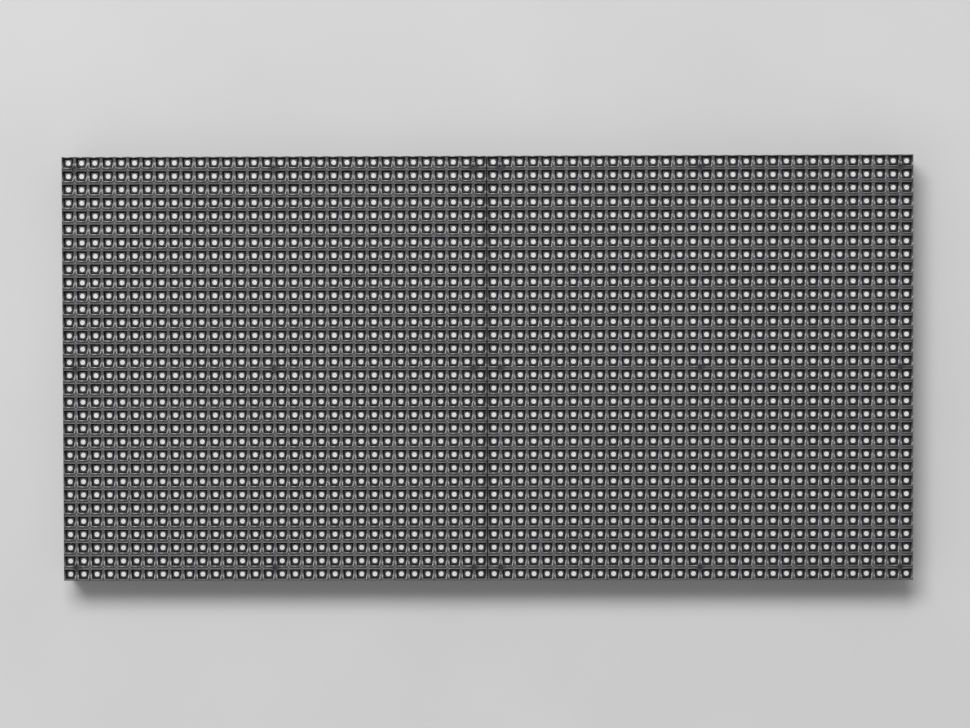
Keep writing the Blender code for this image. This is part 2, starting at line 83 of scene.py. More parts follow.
def nodesNamed(start):
    # CAD nodes whose names start so, in order
    return sorted(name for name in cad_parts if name.startswith(start))


def metres(style, *keys):
    # these of a piece's settings, mm to metres
    return [style[key] * mm for key in keys]


def spread(count, step):
    # count stations, a step apart, about zero: (k - (count - 1) / 2) step
    return (np.arange(count) - (count - 1) / 2) * step


pitch = (cadHigh.x - cadLow.x + grid["seam"] * mm) / grid["columns"]
half = pitch / 2
barTop = boxOf("mask_left")[1][2] - grid["crestBelow"] * mm
boardRear = boxOf("led_driver_upper_01")[1][2] + grid["chipGap"] * mm
boardFront = boardRear + grid["board"] * mm
ledTop = boardFront + grid["led"] * mm


def placesOf(start):
    # (low corner + high corner) / 2 of the nodes so named, at height zero
    return np.array([sum(boxOf(name)) / 2 * (1, 1, 0) for name in nodesNamed(start)])


screwPlaces = placesOf("mask_screw_")


# Shapes are (points, faces): points is an (n, 3) array, faces a list of (paint number, index array)

def gridQuads(rows, columns, closed=False):
    # face (i, j) joins points (i, j), (i+1, j), (i+1, j+1), (i, j+1) and looks along rows x columns
    i, j = np.meshgrid(np.arange(rows - 1), np.arange(columns if closed else columns - 1), indexing="ij")
    beside = (j + 1) % columns
    corners = [i * columns + j, (i + 1) * columns + j, (i + 1) * columns + beside, i * columns + beside]
    return np.stack(corners, -1).reshape(-1, 4)


def join(shapes):
    # puts shapes into one, each one's indices raised by the points before it
    points, faces, count = [], [], 0
    for shapePoints, shapeFaces in shapes:
        faces += [(paint, face + count) for paint, face in shapeFaces]
        points.append(shapePoints)
        count += len(shapePoints)
    return np.concatenate(points), faces


def repeated(shape, places):
    # point k of copy m = point k + place m
    points, faces = shape
    places = np.asarray(places, float).reshape(-1, 3)
    moved = (points[None] + places[:, None]).reshape(-1, 3)
    raised = (np.arange(len(places)) * len(points))[:, None, None]
    return moved, [(paint, (face[None] + raised).reshape(-1, face.shape[1])) for paint, face in faces]


def merged(shape):
    # points nearer than a tenth of a micrometre become one, then faces that lost a corner turn to triangles
    points, faces = shape
    rounded = np.round(points / 1e-7).astype(np.int64)
    _, first, same = np.unique(rounded, axis=0, return_index=True, return_inverse=True)
    same = same.reshape(-1)
    kept = []
    for paint, face in faces:
        face = same[face]
        lost = face == np.roll(face, -1, axis=1)
        kept.append((paint, face[lost.sum(1) == 0]))
        if face.shape[1] == 4:
            short = lost.sum(1) == 1
            kept.append((paint, face[short][~lost[short]].reshape(-1, 3)))
    return points[first], [(paint, face) for paint, face in kept if len(face)]


def turned(profile, sides, turn=0.0, swell=None):
    # x = r cos t, y = r sin t for each (r, z), down the outside from pole to pole; turn shifts t by a share
    # of a side, and swell scales r by angle
    profile = np.array(profile, float)
    angle = (np.arange(sides) + turn) * 2 * np.pi / sides
    circle = np.stack([np.cos(angle), np.sin(angle)], -1)
    radii = np.repeat(profile[:, :1], sides, 1) if swell is None else profile[:, :1] * swell(angle, profile)
    rings = np.concatenate([radii[..., None] * circle[None], np.repeat(profile[:, None, 1:], sides, 1)], -1)
    return merged((rings.reshape(-1, 3), [(0, gridQuads(len(profile), sides, closed=True))]))


def turnedRing(loop, sides, swell=None):
    # the same turn for a closed loop of (r, z), outside first, so the shape has a bore
    return turned(loop + loop[:1], sides, swell=swell)


def capped(rings):
    # rings of points one after the other: walls between them, and a face at both ends
    rings = np.array(rings)
    rows, count = rings.shape[:2]
    first, last = np.arange(count)[None], (np.arange(count)[::-1] + (rows - 1) * count)[None]
    return rings.reshape(-1, 3), [(0, gridQuads(rows, count, closed=True)), (0, first), (0, last)]


def prism(outline, levels):
    # an (n, 2) outline, counter-clockwise, carried down through (z, inset) levels; an inset moves a point
    # towards the outline's middle by that much in x and in y
    outline = np.array(outline, float)
    inward = np.sign((outline.max(0) + outline.min(0)) / 2 - outline)
    return capped(
        [np.column_stack([outline + inset * inward, np.full(len(outline), z)]) for z, inset in levels]
    )


def roundedBox(size, radius, steps=3):
    # outline of a rectangle with quarter arcs: corner centre + radius (cos t, sin t)
    reach = np.array(size[:2]) / 2 - radius
    arc = np.linspace(0, np.pi / 2, steps)
    corners = []
    for number, (right, up) in enumerate([(1, 1), (-1, 1), (-1, -1), (1, -1)]):
        angle = arc + number * np.pi / 2
        corners.append(reach * (right, up) + radius * np.stack([np.cos(angle), np.sin(angle)], -1))
    return np.concatenate(corners)


def carried(section, path, across):
    # section (a, b) at each path point: point + a across + b (across x direction)
    section, path, across = np.array(section, float), np.array(path, float), np.array(across, float)
    along = np.gradient(path, axis=0)
    along /= np.linalg.norm(along, axis=1, keepdims=True)
    normal = np.cross(across, along)
    normal /= np.linalg.norm(normal, axis=1, keepdims=True)
    return capped(path[:, None] + section[None, :, :1] * across + section[None, :, 1:] * normal[:, None])


def moved(shape, place):
    # every point + place
    return shape[0] + np.array(place, float), shape[1]


def turnedOver(shape):
    # half a turn about Z: (x, y) becomes (-x, -y)
    return shape[0] * (-1, -1, 1), shape[1]


def makePiece(name, shape, materials, replaced=(), sharpAngle=38):
    # one object from a shape: loops, faces and paints of all widths go in as whole arrays
    points, faces = shape
    mesh = bpy.data.meshes.new(name)
    starts, loops, paints, count = [], [], [], 0
    for paint, face in faces:
        width = face.shape[1]
        starts.append(np.arange(len(face)) * width + count)
        loops.append(face.reshape(-1))
        paints.append(np.full(len(face), paint))
        count += face.size
    mesh.vertices.add(len(points))
    mesh.vertices.foreach_set("co", points.astype(np.float32).reshape(-1))
    mesh.loops.add(count)
    mesh.loops.foreach_set("vertex_index", np.concatenate(loops).astype(np.int32))
    starts = np.concatenate(starts).astype(np.int32)
    mesh.polygons.add(len(starts))
    mesh.polygons.foreach_set("loop_start", starts)
    mesh.update(calc_edges=True)
    for material in materials:
        mesh.materials.append(material)
    mesh.polygons.foreach_set("material_index", np.concatenate(paints).astype(np.int32))
    mesh.shade_smooth()
    mesh.set_sharp_from_angle(angle=math.radians(sharpAngle))
    piece = bpy.data.objects.new(name, mesh)
    bpy.context.scene.collection.objects.link(piece)
    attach(piece, "root")
    if replaced:
        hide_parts(*replaced)
    triangles = sum(len(face) * (face.shape[1] - 2) for _, face in faces)
    print("made", name, triangles, "triangles")


# Materials

def hexColour(code):
    # sRGB hex to linear: c / 12.92 below 0.04045, else ((c + 0.055) / 1.055) ^ 2.4
    channels = [int(code[i:i + 2], 16) / 255 for i in (1, 3, 5)]
    linear = [c / 12.92 if c <= 0.04045 else ((c + 0.055) / 1.055) ** 2.4 for c in channels]
    return (*linear, 1.0)


def link(material, source, socket):
    # a node as source stands for its first output
    output = source.outputs[0] if isinstance(source, bpy.types.Node) else source
    material.node_tree.links.new(output, socket)


def addNode(material, kind, settings=None, links=None):
    # adds one node: sockets and properties from settings, colour stops as a list, inputs linked from links
    node = material.node_tree.nodes.new("ShaderNode" + kind)
    for key, value in (settings or {}).items():
        if key == "stops":
            ramp = node.color_ramp
            while len(ramp.elements) < len(value):
                ramp.elements.new(0.5)
            for element, (position, colour) in zip(ramp.elements, value):
                element.position, element.color = position, colour
        elif isinstance(key, int) or key in node.inputs:
            node.inputs[key].default_value = value
        else:
            setattr(node, key, value)
    for key, source in (links or {}).items():
        link(material, source, node.inputs[key])
    return node


def startMaterial(name, settings):
    # a new material, its shader with these constant values, and the Object coordinates
    material = bpy.data.materials.new(name)
    material.use_nodes = True
    shader = material.node_tree.nodes["Principled BSDF"]
    for key, value in settings.items():
        shader.inputs[key].default_value = value
    place = addNode(material, "TexCoord").outputs["Object"]
    return material, shader, place


def per(size):
    # texture scale of a pattern whose features are this size in metres
    return 1 / size


def twoTones(colours, reach):
    # colour stops at 0.5 - reach and 0.5 + reach
    return {"stops": [(0.5 - reach, hexColour(colours[0])), (0.5 + reach, hexColour(colours[1]))]}


def finishMaterial(material, shader, colour, roughness=None, bump=None):
    # links the patterns to the shader
    for key, source in {"Base Color": colour, "Roughness": roughness, "Normal": bump}.items():
        if source is not None:
            link(material, source, shader.inputs[key])
    return material


def mouldedPlastic(name, colours, roughness, grain, depth, ior, patch=18 * mm):
    # shared build of the moulded plastics: grain of the tool's skin, slow patches of tone and gloss
    material, shader, place = startMaterial(name, {"IOR": ior})
    skin = addNode(material, "TexNoise", {"Scale": per(grain), "Detail": 2.0}, {"Vector": place})
    flow = addNode(material, "TexNoise", {"Scale": per(patch), "Detail": 3.0}, {"Vector": place})
    tone = addNode(material, "ValToRGB", twoTones(colours, 0.15), {"Fac": flow})
    span = {"From Min": 0.3, "From Max": 0.7, "To Min": roughness[0], "To Max": roughness[1]}
    gloss = addNode(material, "MapRange", span, {"Value": flow})
    bump = addNode(material, "Bump", {"Strength": 0.35, "Distance": depth}, {"Height": skin})
    return finishMaterial(material, shader, tone, gloss, bump)


# ABS, black, moulded against a spark-eroded tool: a satin skin that glows grey where it leans to the light
absMaskSatin = mouldedPlastic(
    "abs_black_satin_moulded", ("#565658", "#5e5e60"), (0.28, 0.35), 0.16 * mm, 0.006 * mm, 1.54
)
# Polycarbonate with glass fibre, black, moulded: duller than the mask, with cloudy flow marks
frameMoulded = mouldedPlastic(
    "polycarbonate_glass_filled_moulded",
    ("#1b1b1c", "#272728"), (0.50, 0.64), 0.3 * mm, 0.012 * mm, 1.58, 9 * mm,
)
# Epoxy mould compound: very dark grey, fine matt skin of the chip bodies
chipCompound = mouldedPlastic(
    "epoxy_compound_moulded", ("#1d1d1f", "#252527"), (0.45, 0.58), 0.09 * mm, 0.004 * mm, 1.55, 3 * mm
)
# Polybutylene terephthalate, black, moulded: the data headers' slightly glossy shrouds
headerPbt = mouldedPlastic(
    "pbt_black_moulded", ("#19191a", "#232324"), (0.34, 0.44), 0.2 * mm, 0.006 * mm, 1.57, 6 * mm
)
# Nylon, natural, moulded: a waxy ivory
nylonNatural = mouldedPlastic(
    "nylon_natural_moulded", ("#d9d3c2", "#e6e1d2"), (0.38, 0.50), 0.4 * mm, 0.008 * mm, 1.53, 5 * mm
)
# Polyphthalamide, black, moulded: the LED bodies, darker and duller than the mask
ledBodyPpa = mouldedPlastic(
    "ppa_black_moulded", ("#3a3a3e", "#434347"), (0.34, 0.44), 0.2 * mm, 0.004 * mm, 1.57, 5 * mm
)
# Ceramic, fired: matt buff bodies of the small capacitors
ceramicFired = mouldedPlastic(
    "ceramic_fired", ("#a08a6c", "#b39c7c"), (0.5, 0.65), 0.1 * mm, 0.003 * mm, 1.6, 3 * mm
)


def ledResin():
    # Epoxy, diffusing, cast into the cups: milky white with a glossy skin, a shade uneven from cup to cup
    material, shader, place = startMaterial(
        "epoxy_diffusing_cast", {"IOR": 1.5, "Roughness": 0.32, "Coat Weight": 0.6, "Coat Roughness": 0.12}
    )
    cups = addNode(material, "TexVoronoi", {"Scale": per(pitch), "Randomness": 0.0}, {"Vector": place})
    whites = twoTones(("#dfdfdc", "#ececea"), 0.3)
    tone = addNode(material, "ValToRGB", whites, {"Fac": cups.outputs["Color"]})
    cloud = addNode(material, "TexNoise", {"Scale": per(0.35 * mm), "Detail": 1.0}, {"Vector": place})
    bump = addNode(material, "Bump", {"Strength": 0.25, "Distance": 0.01 * mm}, {"Height": cloud})
    return finishMaterial(material, shader, tone, None, bump)


def ledDie():
    # Semiconductor dies, sawn, seen through the milky resin: faint pale grey marks
    material, shader, place = startMaterial("semiconductor_die_sawn", {"IOR": 1.5, "Roughness": 0.4})
    kind = addNode(material, "TexNoise", {"Scale": per(0.5 * mm)}, {"Vector": place})
    greys = twoTones(("#c4c7cb", "#d0cecb"), 0.1)
    tone = addNode(material, "ValToRGB", greys, {"Fac": kind})
    return finishMaterial(material, shader, tone)


def boardMask():
    # Solder mask, near-black green, screen-printed over etched copper: traces stand up as slightly paler
    # lines along X or Y in blocks of about 9 mm; bands repeat every pi / (10 scale), here 0.8 mm
    material, shader, place = startMaterial("solder_mask_printed", {"IOR": 1.5, "Roughness": 0.34})
    squares = {"distance": "CHEBYCHEV", "Scale": per(9 * mm)}
    blocks = addNode(material, "TexVoronoi", squares, {"Vector": place})
    side = addNode(material, "SeparateColor", None, {"Color": blocks.outputs["Color"]})
    pick = addNode(material, "Math", {"operation": "GREATER_THAN", 1: 0.5}, {0: side})
    width = {"wave_type": "BANDS", "Scale": per(0.8 * mm) / math.pi, "Distortion": 0.0}
    along = addNode(material, "TexWave", {**width, "bands_direction": "X"}, {"Vector": place})
    over = addNode(material, "TexWave", {**width, "bands_direction": "Y"}, {"Vector": place})
    choice = {0: pick, 2: along.outputs["Fac"], 3: over.outputs["Fac"]}
    lines = addNode(material, "Mix", {"data_type": "FLOAT"}, choice)
    trace = addNode(material, "MapRange", {"From Min": 0.55, "From Max": 0.7}, {"Value": lines})
    tone = addNode(material, "ValToRGB", twoTones(("#141a18", "#202926"), 0.5), {"Fac": trace})
    bump = addNode(material, "Bump", {"Strength": 0.5, "Distance": 0.03 * mm}, {"Height": trace})
    return finishMaterial(material, shader, tone, None, bump)


def metal(name, colours, roughness, grain):
    # shared build of the metals: tone and gloss wander with a fine noise
    material, shader, place = startMaterial(name, {"Metallic": 1.0})
    noise = addNode(material, "TexNoise", {"Scale": per(grain), "Detail": 3.0}, {"Vector": place})
    tone = addNode(material, "ValToRGB", twoTones(colours, 0.15), {"Fac": noise})
    span = {"To Min": roughness[0], "To Max": roughness[1]}
    gloss = addNode(material, "MapRange", span, {"Value": noise})
    return finishMaterial(material, shader, tone, gloss)


# Steel, black oxide: dark grey with a dull, oily sheen
steelBlackened = metal("steel_black_oxide", ("#48484c", "#59595d"), (0.46, 0.60), 0.3 * mm)
# Tin on copper alloy, plated: the chips' soft grey leads
tinPlated = metal("tin_plated", ("#b9babb", "#cfd0d0"), (0.28, 0.42), 0.5 * mm)
# Gold flash on the header pins
goldPlated = metal("gold_plated", ("#d9b45f", "#e8c878"), (0.16, 0.26), 0.6 * mm)
# Aluminium, drawn: the capacitor cans
aluminiumDrawn = metal("aluminium_drawn", ("#c6c7ca", "#d6d7d9"), (0.22, 0.34), 1.5 * mm)
# Brass, turned and knurled: the threaded inserts
brassTurned = metal("brass_turned", ("#b08d45", "#c8a65c"), (0.24, 0.38), 0.4 * mm)

ledResinCast = ledResin()
ledDieSawn = ledDie()
solderMask = boardMask()
print("materials ready")


# Masks: every cell is a ring of wall round its LED, with a crest near the cell's border and a groove on it

# In mm; legs' values run from the cell's lower end to its upper, bars' are (lower side, upper side)
maskCell = {
    # rings from the rear to the crest: a leg's insets from the cell's border, the bars', corner radius
    "foot": ([0.71, 0.69, 0.63, 0.61, 0.60], (0.66, 0.50), 0.2),
    "shoulder": ([0.62, 0.58, 0.50, 0.42, 0.42], (0.60, 0.39), 0.2),
    "crest": ([0.36, 0.26, 0.14, 0.14, 0.14], (0.38, 0.10), 0.22),
    "border": ([0, 0, 0, 0, 0], (0, 0), 0.56),
    # heights from the bars' top, and how far the legs' shoulder lies below their crest
    "crestHeight": [0.0, -0.20, -0.58, -0.54, -0.22],
    "grooveHeight": [-0.62, -0.46, -0.50, -0.46, -0.34],
    "shoulderDrop": [0.12, 0.05, 0.12, 0.12, 0.20],
    "barCrestHeight": (0.0, -0.10),
    "barShoulderHeight": (-0.06, 0.0),
    "barGroove": -0.46,
    "crossing": -0.20,             # small raised blob where four cells meet
    "edgeHeight": -0.16,           # outer wall's top
    "edgeCrest": 0.24,             # foot to crest stay this far behind the outer wall
    "stations": [-0.6, 0.2, 0.8],  # places up the leg between its ends
    "rear": 0.05,                  # mask above the board's front
    "screwRoom": 0.87,             # the shell opens to this radius round a screw
}

# A cell's points: rings of 20 for border at the rear, foot, shoulder, crest and border in front, then four
# crossings in front and four at the rear; corner k lies between three points of its border ring
ringSize = 20
footRing, borderFront, crossFront = ringSize, 4 * ringSize, 5 * ringSize
crossRear, cellSize = crossFront + 4, crossFront + 8
cornerPoints = np.array([[4, 5, 6], [8, 9, 10], [14, 15, 16], [18, 19, 0]])


def cellPath(legInset, barInsets, corner):
    # points round a cell, counter-clockwise from the right leg's lower end: x = half - leg inset,
    # y = stations, and quarter arcs of three points at the corners; the left side mirrors the right
    legX = half - np.array(legInset) * mm
    low, high = barInsets[0] * mm - half, half - barInsets[1] * mm
    corner = corner * mm
    legY = np.array([low + corner, *(np.array(maskCell["stations"]) * mm), high - corner])
    right = np.stack([legX, legY], -1)
    slant = corner * (1 - math.sqrt(0.5))
    topArc = [[legX[-1] - slant, high - slant]]
    topEnd = [[legX[-1] - corner, high]]
    lowArc = [[legX[0] - slant, low + slant]]
    lowEnd = [[legX[0] - corner, low]]
    flip = np.array([-1, 1])
    return np.concatenate(
        [
            right, topArc, topEnd, [[0, high]], topEnd * flip, topArc * flip,
            right[::-1] * flip, lowArc * flip, lowEnd * flip, [[0, low]], lowEnd, lowArc,
        ]
    )


def cellHeights(legHeight, barHeights, cornerHeights):
    # heights in the same order as cellPath, bars and corners as (lower side, upper side)
    (lowBar, highBar), (lowCorner, highCorner) = barHeights, cornerHeights
    high = [highCorner, highBar, highBar, highBar, highCorner]
    low = [lowCorner, lowBar, lowBar, lowBar, lowCorner]
    return np.array([*legHeight, *high, *legHeight[::-1], *low])


def cellShape():
    # each ring is a path round the cell with its heights; the crossings lie at the cell's four corners
    style = maskCell
    rear = boardFront + style["rear"] * mm
    drop = np.array(style["shoulderDrop"]) * mm
    keys = ("crestHeight", "grooveHeight", "barShoulderHeight", "barCrestHeight", "barGroove", "crossing")
    crestZ, grooveZ, barShoulder, barCrest, barGroove, crossing = (
        barTop + np.array(style[key]) * mm for key in keys
    )
    slant = (barGroove + crossing) / 2
    names = ("foot", "shoulder", "crest", "border")
    foot, shoulder, crest, border = (cellPath(*style[key]) for key in names)
    rings = [
        (border, np.full(ringSize, rear)),
        (foot, np.full(ringSize, rear)),
        (shoulder, cellHeights(crestZ - drop, barShoulder, barShoulder)),
        (crest, cellHeights(crestZ, barCrest, barCrest)),
        (border, cellHeights(grooveZ, (barGroove, barGroove), (slant, slant))),
    ]
    points = np.concatenate([np.column_stack(ring) for ring in rings])
    corners = np.array([[half, half], [-half, half], [-half, -half], [half, -half]])
    front = np.column_stack([corners, np.full(4, crossing)])
    behind = np.column_stack([corners, np.full(4, rear)])
    return np.concatenate([points, front, behind])


def buildMask(side):
    # all cells of one mask at once: cell shape + cell centre, pulled in at the mask's edge, pushed out
    # round its screws, and closed by crossings and outer walls; shared border points are merged
    name = "left" if side < 0 else "right"
    low, high = boxOf("mask_" + name)
    cells = grid["columns"] // 2
    column, row = np.meshgrid(spread(cells, 1), spread(cells, 1), indexing="ij")
    centre = np.stack([column.ravel() * pitch + side * cells / 2 * pitch, row.ravel() * pitch], -1)
    points = np.repeat(cellShape()[None], len(centre), 0)
    points[..., :2] += centre[:, None]

    # the outer wall stands half a seam inside the grid, and foot to crest keep their distance behind it;
    # outer notes by one bit for each of the four sides which points lie in an outer wall
    borderPoints = np.r_[:footRing, borderFront:cellSize]
    inner = slice(footRing, borderFront)
    nominal = points[..., :2].copy()
    outer = np.zeros(points.shape[:2], int)
    room, tiny = maskCell["edgeCrest"] * mm, 1e-7
    for axis in (0, 1):
        points[:, inner, axis] = np.clip(points[:, inner, axis], low[axis] + room, high[axis] - room)
        points[:, borderPoints, axis] = np.clip(points[:, borderPoints, axis], low[axis], high[axis])
        outer |= np.where(points[..., axis] <= low[axis] + tiny, 1 << 2 * axis, 0)
        outer |= np.where(points[..., axis] >= high[axis] - tiny, 2 << 2 * axis, 0)
    front = slice(borderFront, crossRear)
    wallTop = barTop + maskCell["edgeHeight"] * mm
    points[:, front, 2] = np.where(outer[:, front] > 0, wallTop, points[:, front, 2])

    # round each screw the shell opens to a circle
    room = maskCell["screwRoom"] * mm
    bored = np.zeros((len(centre), 4), bool)
    for screw in screwPlaces[(screwPlaces[:, 0] > 0) == (side > 0)][:, :2]:
        away = points[:, :crossFront, :2] - screw
        distance = np.linalg.norm(away, axis=-1, keepdims=True)
        pushed = screw + away * np.maximum(1, room / np.maximum(distance, 1e-9))
        points[:, :crossFront, :2] = np.where(distance < room, pushed, points[:, :crossFront, :2])
        bored |= np.linalg.norm(nominal[:, crossFront:crossRear] - screw, axis=-1) < 1e-6

    raised = np.arange(len(centre)) * cellSize
    rings = gridQuads(5, ringSize, closed=True)
    faces = [(0, (rings[None] + raised[:, None, None]).reshape(-1, 4))]

    # crossing patches: two triangles in each corner, front and rear, or the bore's wall at a screw
    firstArm, slant, lastArm = cornerPoints.T
    corner = np.arange(4)
    hole, shut = np.nonzero(bored), np.nonzero(~bored)
    for first, second in ((firstArm, slant), (slant, lastArm)):
        top = np.stack([borderFront + second, borderFront + first, crossFront + corner], -1)
        bottom = np.stack([first, second, crossRear + corner], -1)
        wall = np.stack([first, second, borderFront + second, borderFront + first], -1)
        faces.append((0, top[shut[1]] + raised[shut[0]][:, None]))
        faces.append((0, bottom[shut[1]] + raised[shut[0]][:, None]))
        faces.append((0, wall[hole[1]] + raised[hole[0]][:, None]))

    # outer wall: wherever two neighbours on the border's loop, crossings for slants, lie on the same side
    loop = np.stack([borderFront + np.arange(ringSize), np.arange(ringSize)])
    loop[:, slant] = [crossFront + corner, crossRear + corner]
    after = np.roll(loop, -1, axis=1)
    cell, edge = np.nonzero((outer[:, loop[0]] & outer[:, after[0]]) > 0)
    wall = np.stack([loop[0], loop[1], after[1], after[0]], -1)[edge] + raised[cell][:, None]
    faces.append((0, wall))

    shell = merged((points.reshape(-1, 3), faces))
    makePiece(f"mask_{name}_shell", shell, [absMaskSatin], ["mask_" + name], sharpAngle=62)


buildMask(-1)
buildMask(1)


# Bosses round the screws and the pegs' rounded ends, moulded in one with the masks

maskBoss = {
    "radius": 0.94, "recess": 0.80, "bore": 0.60, "floor": 13.05, "sides": 24,
    "below": 0.01,         # top below the bars'
    "edge": 0.08,
    "slants": (0.4, 0.3),  # widths of the outer and inner edge, as shares of their height
}
maskPeg = {"radius": 0.44, "bulge": 0.6, "top": 13.92, "foot": 12.6, "lift": 0.4, "sides": 16}


def buildBosses():
    # a loop of (r, z) turned about each screw: outside, chamfered top, recess wall, seat and bore
    radius, recess, bore, seat = metres(maskBoss, "radius", "recess", "bore", "floor")
    below, edge = metres(maskBoss, "below", "edge")
    outer, inner = maskBoss["slants"]
    rear, top = boardFront + maskCell["rear"] * mm, barTop - below
    loop = [
        (bore, rear), (radius, rear), (radius, top - edge), (radius - edge * outer, top),
        (recess + edge * inner, top), (recess, top - edge), (recess, seat), (bore, seat),
    ]
    boss = turnedRing(loop[::-1], maskBoss["sides"])
    makePiece("mask_screw_bosses", repeated(boss, screwPlaces), [absMaskSatin], sharpAngle=50)


def buildPegs():
    # flattened hemisphere: r = R cos t, z = top - bulge R (1 - sin t), carried down to the foot
    radius, top, foot, lift = metres(maskPeg, "radius", "top", "foot", "lift")
    bend = np.linspace(np.pi / 2, 0, 6)
    profile = [(radius * math.cos(t), top - maskPeg["bulge"] * radius * (1 - math.sin(t))) for t in bend]
    profile[0] = (0, top)
    peg = turned(profile + [(radius, foot), (0, foot)], maskPeg["sides"], turn=0.5)
    reach = (grid["rows"] / 2 - 1) * pitch
    up = (grid["rows"] / 2 - 0.5) * pitch
    places = [
        (side * grid["rows"] / 2 * pitch + left * reach, high * up + lift, 0)
        for side in (-1, 1) for left in (-1, 1) for high in (-1, 1)
    ]
    makePiece("mask_pegs", repeated(peg, places), [absMaskSatin])


buildBosses()
buildPegs()


# LEDs: black square bodies, each with a round cup filled with milky resin, and three dies showing through

ledStyle = {
    "side": 2.1,
    "draft": 0.05,  # sides lean in by this much at the top
    "fall": 0.08,   # body's top falls by this much from the cup to its sides
    "sunk": 0.05,   # body's foot below the board's front
    "cup": 0.715,   # radius of the resin
    "flat": 0.55,   # resin's flat middle, as a share of that radius
    "dish": 0.025,  # resin's middle below its rim
    "dieSize": (0.2, 0.3),
    "dieCorner": 0.02,
    "dieStep": 0.34,
    "dieProud": 0.012,
    "dieSunk": 0.02,
}


def squarePath(reach):
    # 16 points round a square, counter-clockwise: three on each side and the corners
    line = np.linspace(-1, 1, 5)[:-1] * reach
    edge = np.full(4, reach)
    return np.concatenate(
        [np.stack(side, -1) for side in ((edge, line), (-line, edge), (-edge, -line), (line, -edge))]
    )


def ledShape():
    # rings from the cup's middle out over the rim, over the body's top and down its sides, then the foot
    count = 16
    side, cup, dish, draft = metres(ledStyle, "side", "cup", "dish", "draft")
    fall, sunk = metres(ledStyle, "fall", "sunk")
    angle = np.arange(count) * 2 * np.pi / count - np.pi / 4
    circle = np.stack([np.cos(angle), np.sin(angle)], -1)
    levels = [
        (circle * cup * ledStyle["flat"], ledTop - dish),
        (circle * cup, ledTop),
        (squarePath(side / 2 - draft), ledTop - fall),
        (squarePath(side / 2), boardFront - sunk),
    ]
    rings = [np.column_stack([path, np.full(count, z)]) for path, z in levels]
    quads = gridQuads(4, count, closed=True).reshape(3, count, 4)
    middle, foot = np.arange(count)[None], np.arange(count)[::-1][None] + 3 * count
    return np.concatenate(rings), [(1, middle), (1, quads[0]), (0, quads[1]), (0, quads[2]), (0, foot)]


def ledPlaces(side):
    # centres: (column + 1/2) pitch from the panel's middle
    cells = grid["rows"]
    column, row = np.meshgrid(np.arange(cells) + 0.5, spread(cells, 1), indexing="ij")
    return np.stack([side * column.ravel() * pitch, row.ravel() * pitch, np.zeros(cells * cells)], -1)


def buildLeds():
    # packages and rows of three dies, a step apart, at every place
    dish, proud, sunk = metres(ledStyle, "dish", "dieProud", "dieSunk")
    corner, step = metres(ledStyle, "dieCorner", "dieStep")
    outline = roundedBox(np.array(ledStyle["dieSize"]) * mm, corner, 1)
    die = prism(outline, [(ledTop - dish + proud, 0), (ledTop - dish - sunk, 0)])
    dies = repeated(die, [(x, 0, 0) for x in spread(3, step)])
    paints = [ledBodyPpa, ledResinCast]
    for side, name in ((-1, "left"), (1, "right")):
        places = ledPlaces(side)
        makePiece(f"led_packages_{name}", repeated(ledShape(), places), paints, sharpAngle=40)
        makePiece(f"led_dies_{name}", repeated(dies, places), [ledDieSawn])


buildLeds()


# Circuit board: one plate with rounded corners and routed edges

boardStyle = {"corner": 0.8, "edge": 0.08}


def buildBoard():
    # rounded rectangle carried down through the board's thickness, edges broken by a small inset
    low, high = boxOf("led_board")
    corner, edge = metres(boardStyle, "corner", "edge")
    outline = roundedBox((high - low)[:2], corner, 5)
    levels = [(boardFront, edge), (boardFront - edge, 0), (boardRear + edge, 0), (boardRear, edge)]
    makePiece("circuit_board", prism(outline, levels), [solderMask], ["led_board"], sharpAngle=30)


buildBoard()


# Mask screws: low domed heads with a cross recess, shafts with a pointed end

screwStyle = {
    "head": 0.76,             # radius
    "shaft": 0.56,
    "tip": 0.15,              # radius of the shaft's blunt end
    "point": 0.6,             # length over which the shaft narrows to it
    "sunk": 0.32,             # head's middle below its CAD level
    "seat": 0.45,             # head's seat below that level
    "dome": 0.05,
    "depth": 0.26,
    "lip": 0.05,
    # the cross recess, as shares of the head's radius
    "arm": 0.20,              # half width of its arms
    "reach": 0.66,            # their length
    "armWall": (0.8, 1.1),    # its long walls lean between these shares of arm,
    "endWall": (0.95, 1.06),  # and its end walls between these of reach
    "rim": 0.88,              # last grid line inside the border
}


